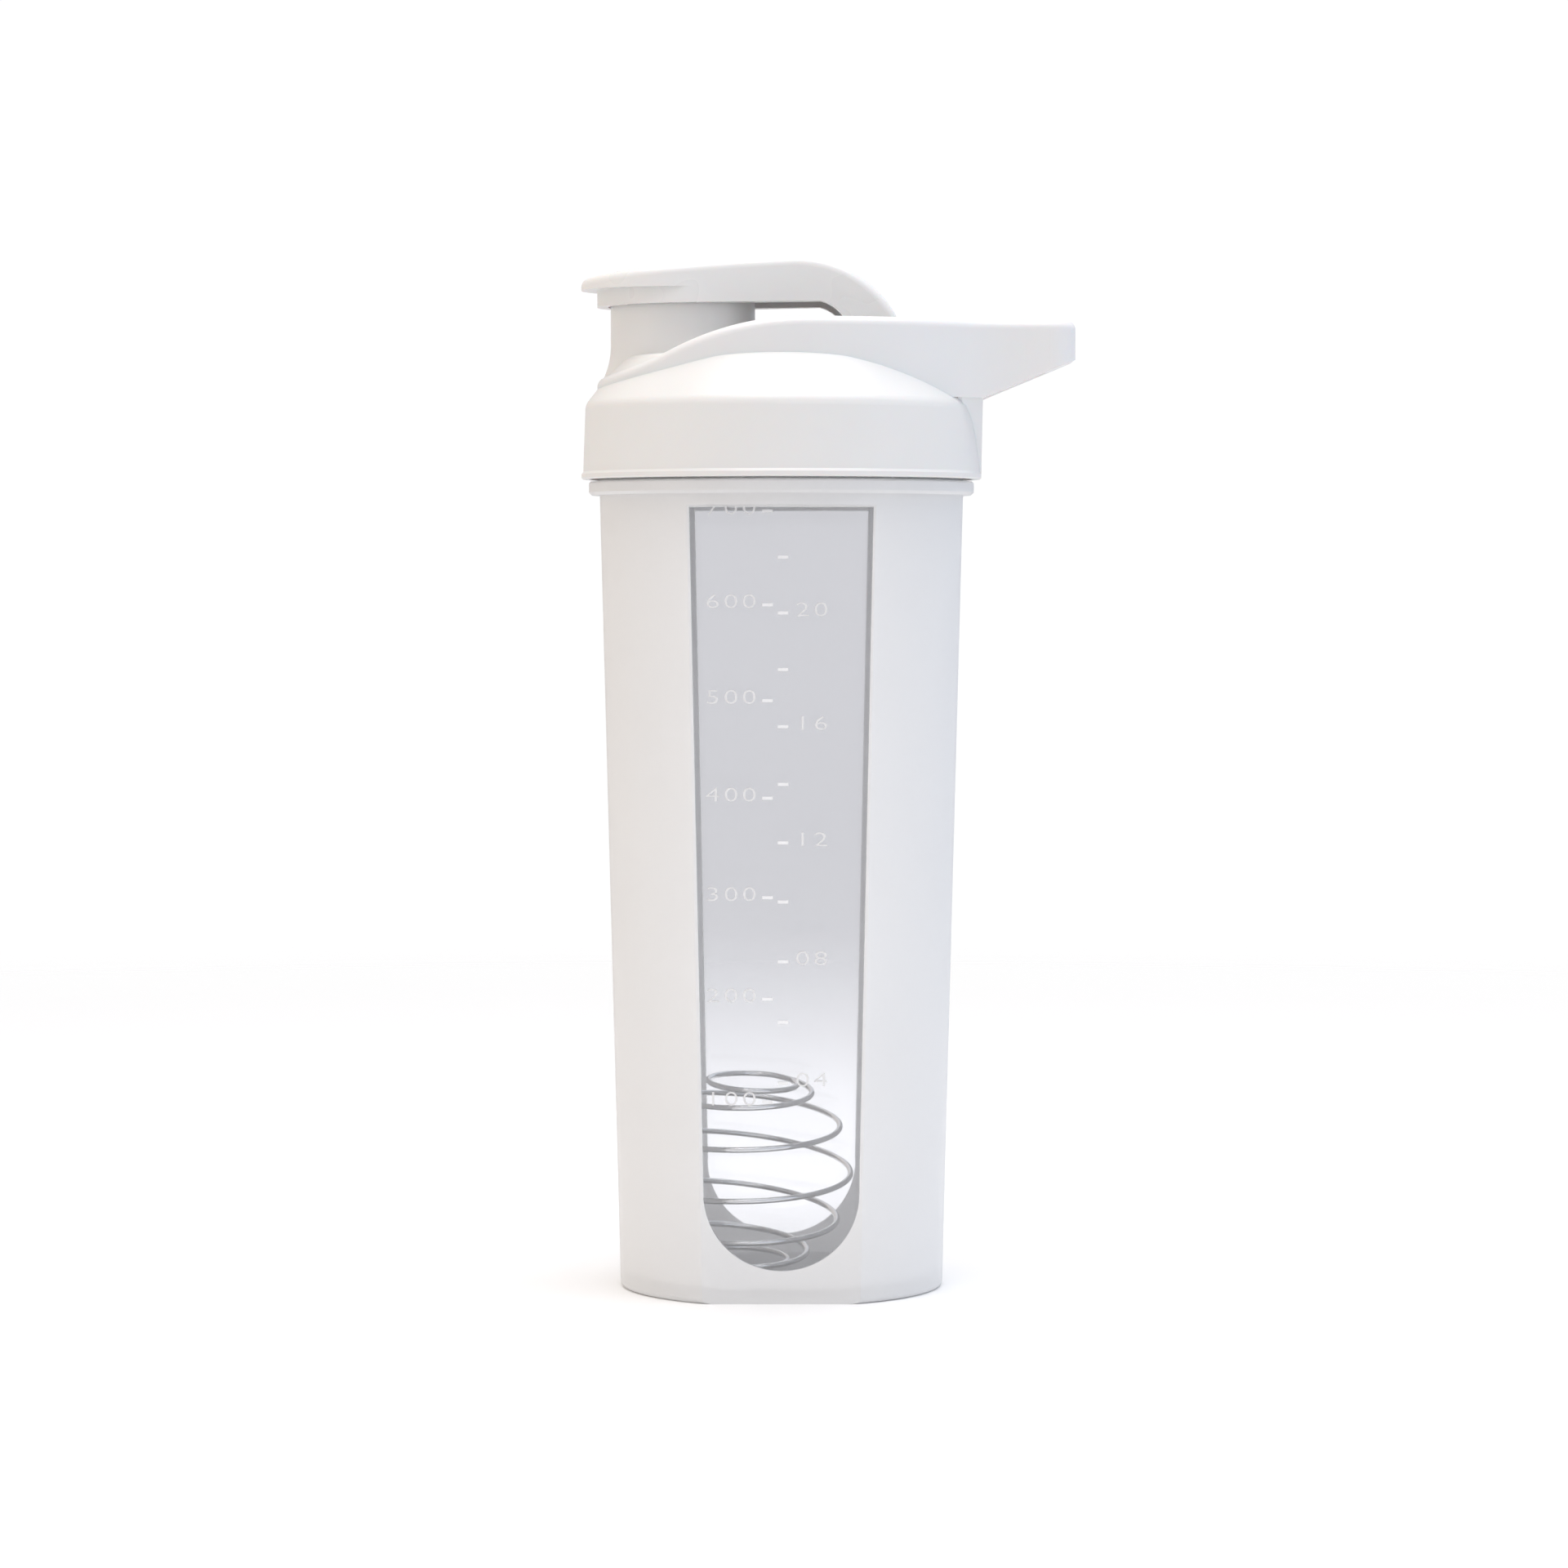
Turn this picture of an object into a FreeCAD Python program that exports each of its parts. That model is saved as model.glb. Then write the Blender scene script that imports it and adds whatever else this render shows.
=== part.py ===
import FreeCAD, Part
import math
import os
import Sketcher

# Protein shaker bottle with a screw lid, flip cap and carry loop. Lengths in millimetres, +Z up.
# The bottle axis is Z and the bottle stands on z = 0. The spout is on -X and the carry loop on +X.

os.makedirs("parts", exist_ok=True)
doc = FreeCAD.newDocument("shaker_bottle")

DIMENSIONS = [
    # bottle
    ("base_r", 37.5), ("shoulder_r", 42.1), ("shoulder_z", 184.3), ("wall", 1.6),
    ("foot_recess", 1.2), ("foot_ring_r", 29.5), ("floor_z", 3.2), ("base_round", 1.2),
    ("flat_top_y", 36.2), ("flat_foot_y", 32.9), ("flat_top_z", 181.0),
    ("collar_r", 44.6), ("collar_top_z", 186.8), ("collar_chamfer", 0.7),
    ("neck_r", 42.2), ("neck_bore_r", 41.0), ("rim_z", 203.0),
    # screw thread, one start, right handed
    ("thread_pitch", 5.0), ("thread_turns", 1.25), ("thread_z", 191.9), ("thread_depth", 1.2),
    ("thread_root", 2.8), ("thread_crest", 1.4), ("thread_sink", 0.4), ("lid_bore_r", 43.8),
    # clear window, a shallow recess in each flat with a round foot
    ("window_top_z", 180.6), ("window_top_half", 20.8), ("window_round_z", 25.4),
    ("window_low_half", 17.7), ("window_foot_z", 7.5), ("window_recess", 0.25),
    # graduation ticks; mark_z is the 100 ml level and each further 100 ml is a little less high,
    # by twice the shrink, because the bottle widens
    ("tick_len", 2.4), ("tick_width", 0.7), ("tick_rise", 0.35),
    ("mark_z", 46.1), ("mark_step", 23.7), ("mark_shrink", 0.24),
    ("millilitre_x", -4.3), ("ounce_x", -0.8), ("ounce_ml", 29.57),
    # gasket
    ("gasket_in_r", 40.5), ("gasket_out_r", 43.3), ("gasket_thick", 1.2),
    # lid shell
    ("skirt_foot_z", 187.3), ("skirt_foot_r", 46.3), ("skirt_bead", 1.2), ("skirt_low_r", 45.9),
    ("skirt_top_r", 45.4), ("skirt_top_z", 204.5), ("skirt_round", 3.5), ("dome_top_r", 37.9),
    ("dome_top_z", 214.0), ("deck_r", 34.8), ("deck_z", 215.6), ("lid_wall", 2.0),
    ("seat_r", 40.2), ("inner_top_r", 35.6), ("inner_top_z", 212.8), ("inner_deck_r", 33.8),
    # spout
    ("spout_x", -22.8), ("spout_r", 16.7), ("spout_bore_r", 14.7), ("spout_rim_z", 229.6),
    ("flare_top_z", 218.5), ("flare_foot_z", 210.2), ("flare_foot_r", 18.6), ("rim_round", 0.8),
    # hinge
    ("hinge_x", 21.0), ("hinge_z", 222.2), ("boss_r", 4.2), ("boss_half", 12.0),
    ("pin_r", 1.5), ("pin_play", 0.06), ("pin_half", 14.0), ("eye_r", 5.8), ("eye_gap", 0.3),
    # flip cap
    ("cap_r", 19.8), ("cap_bore_r", 17.3), ("cap_rear_half", 14.4), ("cap_rim_z", 227.0),
    ("cap_rim_rear_z", 227.8), ("cap_rim_rear_x", 9.0), ("lip_front_x", -46.3),
    ("lip_foot_z", 230.9), ("lip_top_z", 233.4), ("crown_x", 3.4), ("crown_z", 211.6),
    ("crown_top_z", 240.0), ("cap_wall", 2.2), ("cap_floor_z", 231.4),
    ("cap_edge_round", 2.0), ("plug_ring_r", 11.8), ("plug_ring_in_r", 9.6),
    # spout seal
    ("seal_flange_r", 16.4), ("seal_top_r", 14.4), ("seal_foot_r", 13.6), ("seal_foot_z", 226.0),
    ("seal_skin", 1.4), ("seal_step_z", 229.7),
    # underside of the cap: the channel between the arms and the arch in front of each eye
    ("channel_front_x", -14.0), ("channel_knee_x", -3.0), ("channel_knee_drop", 0.92),
    ("arch_x", 12.6), ("arch_z", 225.9),
    # carry loop
    ("loop_side_r", 58.0), ("loop_side_half", 36.5), ("loop_waist_r", 27.0), ("loop_waist_x", 38.0),
    ("loop_band", 6.5), ("loop_tip_x", 67.5), ("loop_corner", 6.0), ("loop_hole_corner", 3.0),
    ("loop_top_z", 223.5),
    ("loop_front_x", -42.6), ("loop_front_z", 210.3),
    ("loop_rise_x", 6.0), ("loop_rise_r", 69.0), ("loop_dip_x", -25.0), ("loop_tip_foot_z", 214.6),
    ("loop_root_x", 46.0), ("loop_root_z", 205.7), ("loop_edge_round", 2.0),
    ("tongue_x", 46.2), ("tongue_top_half", 20.0), ("tongue_top_face", 13.0),
    ("tongue_foot_half", 8.0), ("tongue_foot_face", 4.0), ("tongue_foot_z", 188.6),
    # whisk ball
    ("wire_r", 0.65), ("ball_r", 23.8), ("ball_ring_r", 11.7), ("ball_turns", 4.5),
    ("ball_twist", -108.6), ("ring_tuck", 1.45), ("ball_x", -7.7), ("ball_tilt", 4.9),
    ("ball_lean", 3.0), ("ball_z", 26.7),
    # outside every piece, for outlines that cut away
    ("clear_x", 80.0), ("clear_z", 245.0),
]

sheet = doc.addObject("Spreadsheet::Sheet", "Dims")
for row, (alias, value) in enumerate(DIMENSIONS, start=1):
    sheet.set("A%d" % row, alias)
    sheet.set("B%d" % row, str(value))
    sheet.setAlias("B%d" % row, alias)
doc.recompute()


def size(text):
    """Value of a dimension, or of a sum written with dimension names."""
    return float(sheet.evalExpression(text)) if isinstance(text, str) else float(text)


def bound(text):
    """The same sum with every name pointing at the sheet, for setExpression."""
    names = sorted((alias for alias, _ in DIMENSIONS), key=len, reverse=True)
    out, word = "", ""
    for char in text + " ":
        if char.isalnum() or char == "_":
            word += char
            continue
        out += ("Dims." + word if word in names else word) + char
        word = ""
    return out.strip()


def drive(item, prop, text):
    item.setExpression(prop, bound(text))


def new_body(name):
    body = doc.addObject("PartDesign::Body", name)
    body.Label = name
    return body


def origin_plane(body, role):
    return [item for item in body.Origin.OriginFeatures if item.Role == role][0]


def new_sketch(body, name, role, offset=None):
    """A sketch on one of the body's own origin planes, moved by expressions in the offset dict."""
    sketch = body.newObject("Sketcher::SketchObject", name)
    sketch.AttachmentSupport = (origin_plane(body, role), [""])
    sketch.MapMode = "FlatFace"
    for axis, text in (offset or {}).items():
        drive(sketch, "AttachmentOffset.Base." + axis, text)
    return sketch


def pin_point(sketch, geometry, which, point):
    for kind, text in zip(("DistanceX", "DistanceY"), point):
        index = sketch.addConstraint(Sketcher.Constraint(kind, -1, 1, geometry, which, size(text)))
        if isinstance(text, str):
            drive(sketch, "Constraints[%d]" % index, text)


def outline(sketch, points):
    """Closed outline. A point marked "via" is passed through by an arc between its neighbours."""
    ends = [p for p in points if len(p) == 2]
    marks = [i for i, p in enumerate(points) if len(p) == 2]
    made = []
    for order, start_at in enumerate(marks):
        start = ends[order]
        stop = ends[(order + 1) % len(ends)]
        after = points[(start_at + 1) % len(points)]
        a, b = (FreeCAD.Vector(size(p[0]), size(p[1]), 0) for p in (start, stop))
        if len(after) == 3:
            mid = FreeCAD.Vector(size(after[0]), size(after[1]), 0)
            arc = Part.Arc(a, mid, b)
            geometry = sketch.addGeometry(arc)
            forward = sketch.getPoint(geometry, 1).sub(a).Length < 1e-4
            made.append((geometry, 1, 2) if forward else (geometry, 2, 1))
            spot = sketch.addGeometry(Part.Point(mid), True)
            pin_point(sketch, spot, 1, after[:2])
            sketch.addConstraint(Sketcher.Constraint("PointOnObject", spot, 1, geometry))
        else:
            geometry = sketch.addGeometry(Part.LineSegment(a, b))
            made.append((geometry, 1, 2))
    for order, (geometry, first, _) in enumerate(made):
        last_geometry, _, last_end = made[order - 1]
        sketch.addConstraint(Sketcher.Constraint("Coincident", last_geometry, last_end, geometry, first))
        pin_point(sketch, geometry, first, ends[order])
    return sketch


def around(centre, radius, angle):
    return (centre[0] + size(radius) * math.cos(angle), centre[1] + size(radius) * math.sin(angle))


def via(point):
    return (point[0], point[1], "via")


def along_arc(start, heading, stop):
    """Middle of the arc that leaves start along the heading and ends at stop."""
    chord = math.atan2(stop[1] - start[1], stop[0] - start[0])
    swing = math.remainder(chord - heading, 2 * math.pi)
    return around(start, math.dist(start, stop) / (2 * math.cos(swing / 2)), heading + swing / 2)


def ring(sketch, centre, radius):
    centre_at = FreeCAD.Vector(size(centre[0]), size(centre[1]), 0)
    circle = sketch.addGeometry(Part.Circle(centre_at, FreeCAD.Vector(0, 0, 1), size(radius)))
    pin_point(sketch, circle, 3, centre)
    index = sketch.addConstraint(Sketcher.Constraint("Radius", circle, size(radius)))
    drive(sketch, "Constraints[%d]" % index, radius)
    return sketch


def turned(body, name, kind, sketch):
    """Revolution or Groove of a sketch, full circle about the sketch's vertical axis."""
    feature = body.newObject("PartDesign::" + kind, name)
    feature.Profile = sketch
    feature.ReferenceAxis = (sketch, ["V_Axis"])
    feature.Angle = 360.0
    doc.recompute()
    return feature


def stretched(body, name, kind, sketch, length, midplane=False, reverse=False):
    """Pad or Pocket of a sketch by a driven length."""
    feature = body.newObject("PartDesign::" + kind, name)
    feature.Profile = sketch
    drive(feature, "Length", length)
    feature.Midplane = midplane
    feature.Reversed = reverse
    doc.recompute()
    return feature


def thread(body, name, points):
    """Helical rib with the given section, one start, right handed."""
    sketch = outline(new_sketch(body, name + "_section", "XZ_Plane"), points)
    helix = body.newObject("PartDesign::AdditiveHelix", name)
    helix.Profile = sketch
    helix.ReferenceAxis = (sketch, ["V_Axis"])
    helix.Mode = "pitch-turns-angle"
    drive(helix, "Pitch", "thread_pitch")
    drive(helix, "Turns", "thread_turns")
    helix.LeftHanded = False
    doc.recompute()
    return helix


def crest(shape, passes, keep):
    """Names of the edges on the border of the faces that pass, where the edge's box is kept."""
    found = []
    for number, edge in enumerate(shape.Edges, start=1):
        hits = [passes(face) for face in shape.ancestorsOfType(edge, Part.Face)]
        if any(hits) and not all(hits) and keep(edge.BoundBox):
            found.append("Edge%d" % number)
    return found


def faces_up(above_z, least):
    """Test for a face swept along Y that lies above a height and leans upwards by at least this."""
    def passes(face):
        u0, u1, v0, v1 = face.ParameterRange
        spots = [(u0 + (u1 - u0) * i / 4, v0 + (v1 - v0) * j / 4) for i in (1, 2, 3) for j in (1, 2, 3)]
        normals = [face.normalAt(u, v) for u, v in spots]
        return (face.CenterOfMass.z > above_z
                and all(abs(n.y) < 1e-6 and n.z > least for n in normals))
    return passes


def rounded(body, name, radius, above_z, least, keep):
    """Fillet round the border of the faces that lean upwards, above a height."""
    fillet = body.newObject("PartDesign::Fillet", name)
    base = fillet.BaseFeature or body.Tip
    fillet.Base = (base, crest(base.Shape, faces_up(above_z, least), keep))
    drive(fillet, "Radius", radius)
    doc.recompute()
    return fillet


# Bottle body
# A round tapered bottle with a flat on the front and on the back, a collar and a threaded neck.

def flats(body, name, depth_in, top):
    """Cuts the two tilted flats. depth_in moves them towards the axis, top is their upper end."""
    sketch = new_sketch(body, name + "_sketch", "YZ_Plane")
    foot = "flat_foot_y - %s" % depth_in
    head = "flat_foot_y - %s + (flat_top_y - flat_foot_y) * (%s) / flat_top_z" % (depth_in, top)
    lean = "(flat_top_y - flat_foot_y) / flat_top_z"
    foot_low = "%s - 5 * %s" % (foot, lean)
    for side in ("", "-"):
        outline(sketch, [
            ("%s(%s)" % (side, foot_low), -5.0),
            ("%s(%s)" % (side, head), top),
            ("%s(shoulder_r + 12)" % side, top),
            ("%s(shoulder_r + 12)" % side, -5.0),
        ])
    return stretched(body, name, "Pocket", sketch, "4 * shoulder_r", midplane=True)


bottle = new_body("bottle_outer")
profile = outline(new_sketch(bottle, "bottle_profile", "XZ_Plane"), [
    (0.0, "foot_recess"), ("foot_ring_r", "foot_recess"), ("foot_ring_r + foot_recess", 0.0),
    ("base_r - base_round", 0.0),
    ("base_r - 0.293 * base_round", "0.293 * base_round", "via"),
    ("base_r + 0.02 * base_round", "base_round"),
    ("shoulder_r", "shoulder_z - collar_chamfer"),
    ("collar_r - collar_chamfer", "shoulder_z - collar_chamfer"),
    ("collar_r", "shoulder_z"), ("collar_r", "collar_top_z - 0.4"),
    ("collar_r - 0.4", "collar_top_z"), ("neck_r", "collar_top_z"), ("neck_r", "rim_z - 0.3"),
    ("neck_r - 0.3", "rim_z"), (0.0, "rim_z"),
])
turned(bottle, "bottle_turned", "Revolution", profile)
flats(bottle, "outer_flats", "0", "flat_top_z")
thread(bottle, "neck_thread", [
    ("neck_r - thread_sink", "thread_z - thread_root / 2"),
    ("neck_r", "thread_z - thread_root / 2"),
    ("neck_r + thread_depth", "thread_z - thread_crest / 2"),
    ("neck_r + thread_depth", "thread_z + thread_crest / 2"),
    ("neck_r", "thread_z + thread_root / 2"),
    ("neck_r - thread_sink", "thread_z + thread_root / 2"),
])

lean_angle = math.degrees(math.atan2(size("flat_top_y - flat_foot_y"), size("flat_top_z")))


def on_front_flat(name, depth):
    """A sketch parallel to the front flat, depth under it."""
    sketch = new_sketch(bottle, name, "XZ_Plane")
    sketch.AttachmentOffset = FreeCAD.Placement(
        FreeCAD.Vector(0, 0, size("flat_foot_y - " + depth)),
        FreeCAD.Rotation(FreeCAD.Vector(1, 0, 0), lean_angle))
    return sketch


window = outline(on_front_flat("window_sketch", "window_recess"), [
    ("-window_low_half", "window_round_z"), (0.0, "window_foot_z", "via"),
    ("window_low_half", "window_round_z"), ("window_top_half", "window_top_z"),
    ("-window_top_half", "window_top_z"),
])
front_window = stretched(bottle, "front_window", "Pocket", window, "wall", reverse=True)
both_windows = bottle.newObject("PartDesign::Mirrored", "both_windows")
both_windows.Originals = [front_window]
both_windows.MirrorPlane = (origin_plane(bottle, "XZ_Plane"), [""])
bottle.Tip = both_windows
doc.recompute()

# raised ticks on the front flat, every 100 ml on the left and every 2 oz on the right
for unit, levels in (("millilitre", ["%d" % step for step in range(7)]),
                     ("ounce", ["(%d * ounce_ml / 100 - 1)" % amount for amount in range(4, 25, 2)])):
    ticks = on_front_flat(unit + "_tick_sketch", "tick_rise")
    left = unit + "_x"
    for level in levels:
        low = "mark_z + {0} * mark_step - {0} * {0} * mark_shrink - tick_width / 2".format(level)
        outline(ticks, [
            (left, low), (left + " + tick_len", low),
            (left + " + tick_len", low + " + tick_width"), (left, low + " + tick_width"),
        ])
    stretched(bottle, unit + "_ticks", "Pad", ticks, "2 * tick_rise")

cavity = new_body("bottle_cavity")
profile = outline(new_sketch(cavity, "cavity_profile", "XZ_Plane"), [
    (0.0, "floor_z"), ("base_r - wall - 2", "floor_z"),
    ("base_r - wall - 0.6", "floor_z + 0.6", "via"),
    ("base_r - wall", "floor_z + 2"),
    ("shoulder_r - wall", "shoulder_z"), ("neck_bore_r", "rim_z + 1"), (0.0, "rim_z + 1"),
])
turned(cavity, "cavity_turned", "Revolution", profile)
flats(cavity, "inner_flats", "wall", "flat_top_z + wall")

bottle_body = doc.addObject("Part::Cut", "bottle_body")
bottle_body.Base = bottle
bottle_body.Tool = cavity


# Lid shell
# Screw skirt, domed deck, drinking spout and hinge boss in one moulding.

# outside of the skirt and dome, from the bead up; a large round joins the two
LID_OUTSIDE = [
    ("skirt_foot_r", "skirt_foot_z + skirt_bead"), ("skirt_low_r", "skirt_foot_z + skirt_bead + 0.6"),
    ("skirt_top_r", "skirt_top_z - 0.347 * skirt_round"),
    ("skirt_top_r - 0.0553 * skirt_round", "skirt_top_z - 0.0193 * skirt_round", "via"),
    ("skirt_top_r - 0.215 * skirt_round", "skirt_top_z + 0.272 * skirt_round"),
    ("dome_top_r", "dome_top_z"), ("dome_top_r - 1.25", "deck_z - 0.42", "via"),
    ("deck_r", "deck_z"), (0.0, "deck_z"),
]

lid = new_body("lid_shell")
profile = outline(new_sketch(lid, "lid_profile", "XZ_Plane"), [
    (0.0, "skirt_foot_z"), ("skirt_foot_r - 0.3", "skirt_foot_z"),
    ("skirt_foot_r", "skirt_foot_z + 0.3"),
] + LID_OUTSIDE)
turned(lid, "lid_turned", "Revolution", profile)
at_spout = {"x": "spout_x"}
profile = outline(new_sketch(lid, "spout_profile", "XZ_Plane", at_spout), [
    (0.0, "skirt_top_z"), ("flare_foot_r", "skirt_top_z"), ("flare_foot_r", "flare_foot_z"),
    ("spout_r + 0.65", "flare_foot_z + 3.2", "via"), ("spout_r", "flare_top_z"),
    ("spout_r", "spout_rim_z - rim_round"),
    ("spout_r - 0.293 * rim_round", "spout_rim_z - 0.293 * rim_round", "via"),
    ("spout_r - rim_round", "spout_rim_z"), (0.0, "spout_rim_z"),
])
turned(lid, "spout_turned", "Revolution", profile)

# hinge boss on a pedestal, between the cap's two arms
post = outline(new_sketch(lid, "post_sketch", "XZ_Plane"), [
    ("hinge_x - boss_r", "hinge_z"), ("hinge_x", "hinge_z + boss_r", "via"),
    ("hinge_x + boss_r", "hinge_z"), ("hinge_x + boss_r - 0.6", "deck_z - lid_wall / 2"),
    ("hinge_x - boss_r - 0.6", "deck_z - lid_wall / 2"),
])
stretched(lid, "post", "Pad", post, "2 * boss_half", midplane=True)

profile = outline(new_sketch(lid, "lid_cavity_profile", "XZ_Plane"), [
    (0.0, "skirt_foot_z - 1"), ("lid_bore_r + 0.4", "skirt_foot_z - 1"),
    ("lid_bore_r + 0.4", "skirt_foot_z"), ("lid_bore_r", "skirt_foot_z + 0.4"),
    ("lid_bore_r", "rim_z + gasket_thick"), ("seat_r", "rim_z + gasket_thick"),
    ("seat_r", "rim_z + gasket_thick + 2"),
    ("inner_top_r", "inner_top_z"), ("inner_deck_r", "deck_z - lid_wall"),
    (0.0, "deck_z - lid_wall"),
])
turned(lid, "lid_cavity", "Groove", profile)
profile = outline(new_sketch(lid, "spout_bore_profile", "XZ_Plane", at_spout), [
    (0.0, "skirt_top_z"), ("spout_bore_r", "skirt_top_z"), ("spout_bore_r", "spout_rim_z - 0.5"),
    ("spout_bore_r + 0.5", "spout_rim_z"), ("spout_bore_r + 0.5", "spout_rim_z + 1"),
    (0.0, "spout_rim_z + 1"),
])
turned(lid, "spout_bore", "Groove", profile)
pin_bore = ring(new_sketch(lid, "pin_bore_sketch", "XZ_Plane"), ("hinge_x", "hinge_z"), "pin_r")
stretched(lid, "pin_bore", "Pocket", pin_bore, "4 * boss_half", midplane=True)
lid_thread_z = "thread_z - thread_pitch / 2"
thread(lid, "lid_thread", [
    ("lid_bore_r + thread_sink", lid_thread_z + " - thread_root / 2"),
    ("lid_bore_r", lid_thread_z + " - thread_root / 2"),
    ("lid_bore_r - thread_depth", lid_thread_z + " - thread_crest / 2"),
    ("lid_bore_r - thread_depth", lid_thread_z + " + thread_crest / 2"),
    ("lid_bore_r", lid_thread_z + " + thread_root / 2"),
    ("lid_bore_r + thread_sink", lid_thread_z + " + thread_root / 2"),
])


# Gasket and hinge pin

gasket = new_body("lid_gasket")
profile = outline(new_sketch(gasket, "gasket_profile", "XZ_Plane"), [
    ("gasket_in_r", "rim_z"), ("gasket_out_r - 0.2", "rim_z"), ("gasket_out_r", "rim_z + 0.2"),
    ("gasket_out_r", "rim_z + gasket_thick"), ("gasket_in_r", "rim_z + gasket_thick"),
])
turned(gasket, "gasket_turned", "Revolution", profile)

pin = new_body("hinge_pin")
circle = ring(new_sketch(pin, "pin_sketch", "XZ_Plane"), ("hinge_x", "hinge_z"), "pin_r")
stretched(pin, "pin_pad", "Pad", circle, "2 * pin_half", midplane=True)


# Flip cap
# A shell over the spout with a thumb lip in front and two arms that straddle the hinge boss.

cap = new_body("flip_cap")
fan = math.asin(size("(cap_r - cap_rear_half) / (hinge_x - spout_x)"))
lip_x = (size("lip_front_x + cap_r") + size("spout_x") * math.sin(fan)) / (1 + math.sin(fan))
lip_r = lip_x - size("lip_front_x")


def cap_plan(name, level, centre_x, radius):
    """Plan outline: a round front whose sides run straight back, both plans on the same side lines."""
    touch_x, touch_y = centre_x + radius * math.sin(fan), radius * math.cos(fan)
    rear_x = size("hinge_x + eye_r + 1")
    rear_y = touch_y - (rear_x - touch_x) * math.tan(fan)
    return outline(new_sketch(cap, name, "XY_Plane", {"z": level}), [
        (touch_x, -touch_y), (rear_x, -rear_y), (rear_x, rear_y), (touch_x, touch_y),
        (centre_x - radius, 0.0, "via"),
    ])


plan = cap_plan("cap_plan", "hinge_z - eye_r - 1", size("spout_x"), size("cap_r"))
stretched(cap, "cap_block", "Pad", plan, "lip_foot_z - hinge_z + eye_r + 1")
plan = cap_plan("lip_plan", "lip_foot_z", lip_x, lip_r)
stretched(cap, "lip_block", "Pad", plan, "crown_top_z - lip_foot_z")

# side view: everything above the crown line goes, then everything below the rim and the arms
hinge = (size("hinge_x"), size("hinge_z"))
crown = (size("crown_x"), size("crown_z"))
crown_r = size("eye_r") + math.dist(hinge, crown)
lean = math.atan2(hinge[1] - crown[1], hinge[0] - crown[0])


crown_start = math.radians(93.0)
eye_top = around(hinge, "eye_r", lean)
eye_foot = around(hinge, "eye_r", -math.pi / 2)
front_top = (size("lip_front_x - 1"), size("lip_top_z - 0.1"))
crown_top = around(crown, crown_r, crown_start)
crown_line = [
    front_top, via(along_arc(crown_top, crown_start + math.pi / 2, front_top)), crown_top,
    via(around(crown, crown_r, (crown_start + lean) / 2)), eye_top,
    via(around(hinge, "eye_r", (lean - math.pi / 2) / 2)), eye_foot,
]
above = outline(new_sketch(cap, "above_crown", "XZ_Plane"), crown_line + [
    (hinge[0], size("hinge_z - eye_r - 3")), ("clear_x", "hinge_z - eye_r - 3"),
    ("clear_x", "clear_z"), (front_top[0], "clear_z"),
])
stretched(cap, "above_crown_cut", "Pocket", above, "4 * cap_r", midplane=True)
eye_low = size("hinge_z - eye_r")
rounded(cap, "crown_round", "cap_edge_round", eye_low, -0.9, lambda box: box.ZMax > eye_low + 0.5)

eye_front = around(hinge, "eye_r", math.radians(200.0))
below = outline(new_sketch(cap, "below_rim", "XZ_Plane"), [
    ("-clear_x", "hinge_z - eye_r - 3"), ("-clear_x", "cap_rim_z"), ("spout_x - cap_r", "cap_rim_z"),
    ("cap_rim_rear_x", "cap_rim_rear_z"), via(("arch_x", "arch_z")), eye_front,
    via(around(hinge, "eye_r", math.radians(235.0))), eye_foot,
    (hinge[0], size("hinge_z - eye_r - 3")),
])
stretched(cap, "below_rim_cut", "Pocket", below, "4 * cap_r", midplane=True)

# hollow inside: a channel between the arms and a round room over the spout
inner_r = crown_r - size("cap_wall")
shell_end = math.radians(40.0)
past_eye = size("2 * eye_r")
channel = outline(new_sketch(cap, "channel_side", "XZ_Plane"), [
    ("channel_front_x", "deck_z"), ("channel_front_x", "cap_floor_z"),
    ("channel_knee_x", crown[1] + inner_r - size("channel_knee_drop")),
    around(crown, inner_r, math.pi / 2), via(around(crown, inner_r, (math.pi / 2 + shell_end) / 2)),
    around(crown, inner_r, shell_end), around(crown, inner_r + past_eye, shell_end),
    (hinge[0] + 2 * past_eye, "deck_z"),
])
stretched(cap, "channel", "Pocket", channel, "2 * boss_half + 2 * eye_gap", midplane=True)
room = ring(new_sketch(cap, "room_plan", "XY_Plane", {"z": "cap_floor_z"}), ("spout_x", 0.0), "cap_bore_r")
stretched(cap, "room", "Pocket", room, "cap_floor_z - deck_z")
profile = outline(new_sketch(cap, "plug_ring_profile", "XZ_Plane", at_spout), [
    ("plug_ring_in_r", "seal_foot_z + seal_skin"), ("plug_ring_r", "seal_foot_z + seal_skin"),
    ("plug_ring_r", "cap_floor_z + 0.6"), ("plug_ring_in_r", "cap_floor_z + 0.6"),
])
turned(cap, "plug_ring", "Revolution", profile)
eye = ring(new_sketch(cap, "eye_sketch", "XZ_Plane"), ("hinge_x", "hinge_z"), "pin_r + pin_play")
stretched(cap, "eye_bore", "Pocket", eye, "4 * cap_rear_half", midplane=True)


# Spout seal
# A silicone plug pressed on to the ring under the cap.

seal = new_body("spout_seal")
profile = outline(new_sketch(seal, "seal_profile", "XZ_Plane", at_spout), [
    (0.0, "seal_foot_z"), ("seal_foot_r - 1", "seal_foot_z"), ("seal_foot_r", "seal_foot_z + 1"),
    ("seal_top_r", "seal_step_z"), ("seal_flange_r", "seal_step_z"),
    ("seal_flange_r", "cap_floor_z"), ("plug_ring_r", "cap_floor_z"),
    ("plug_ring_r", "seal_foot_z + seal_skin"), (0.0, "seal_foot_z + seal_skin"),
])
turned(seal, "seal_turned", "Revolution", profile)


# Carry loop
# A band round the spout that runs out into a finger loop, with a tongue down the back of the skirt.

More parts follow.
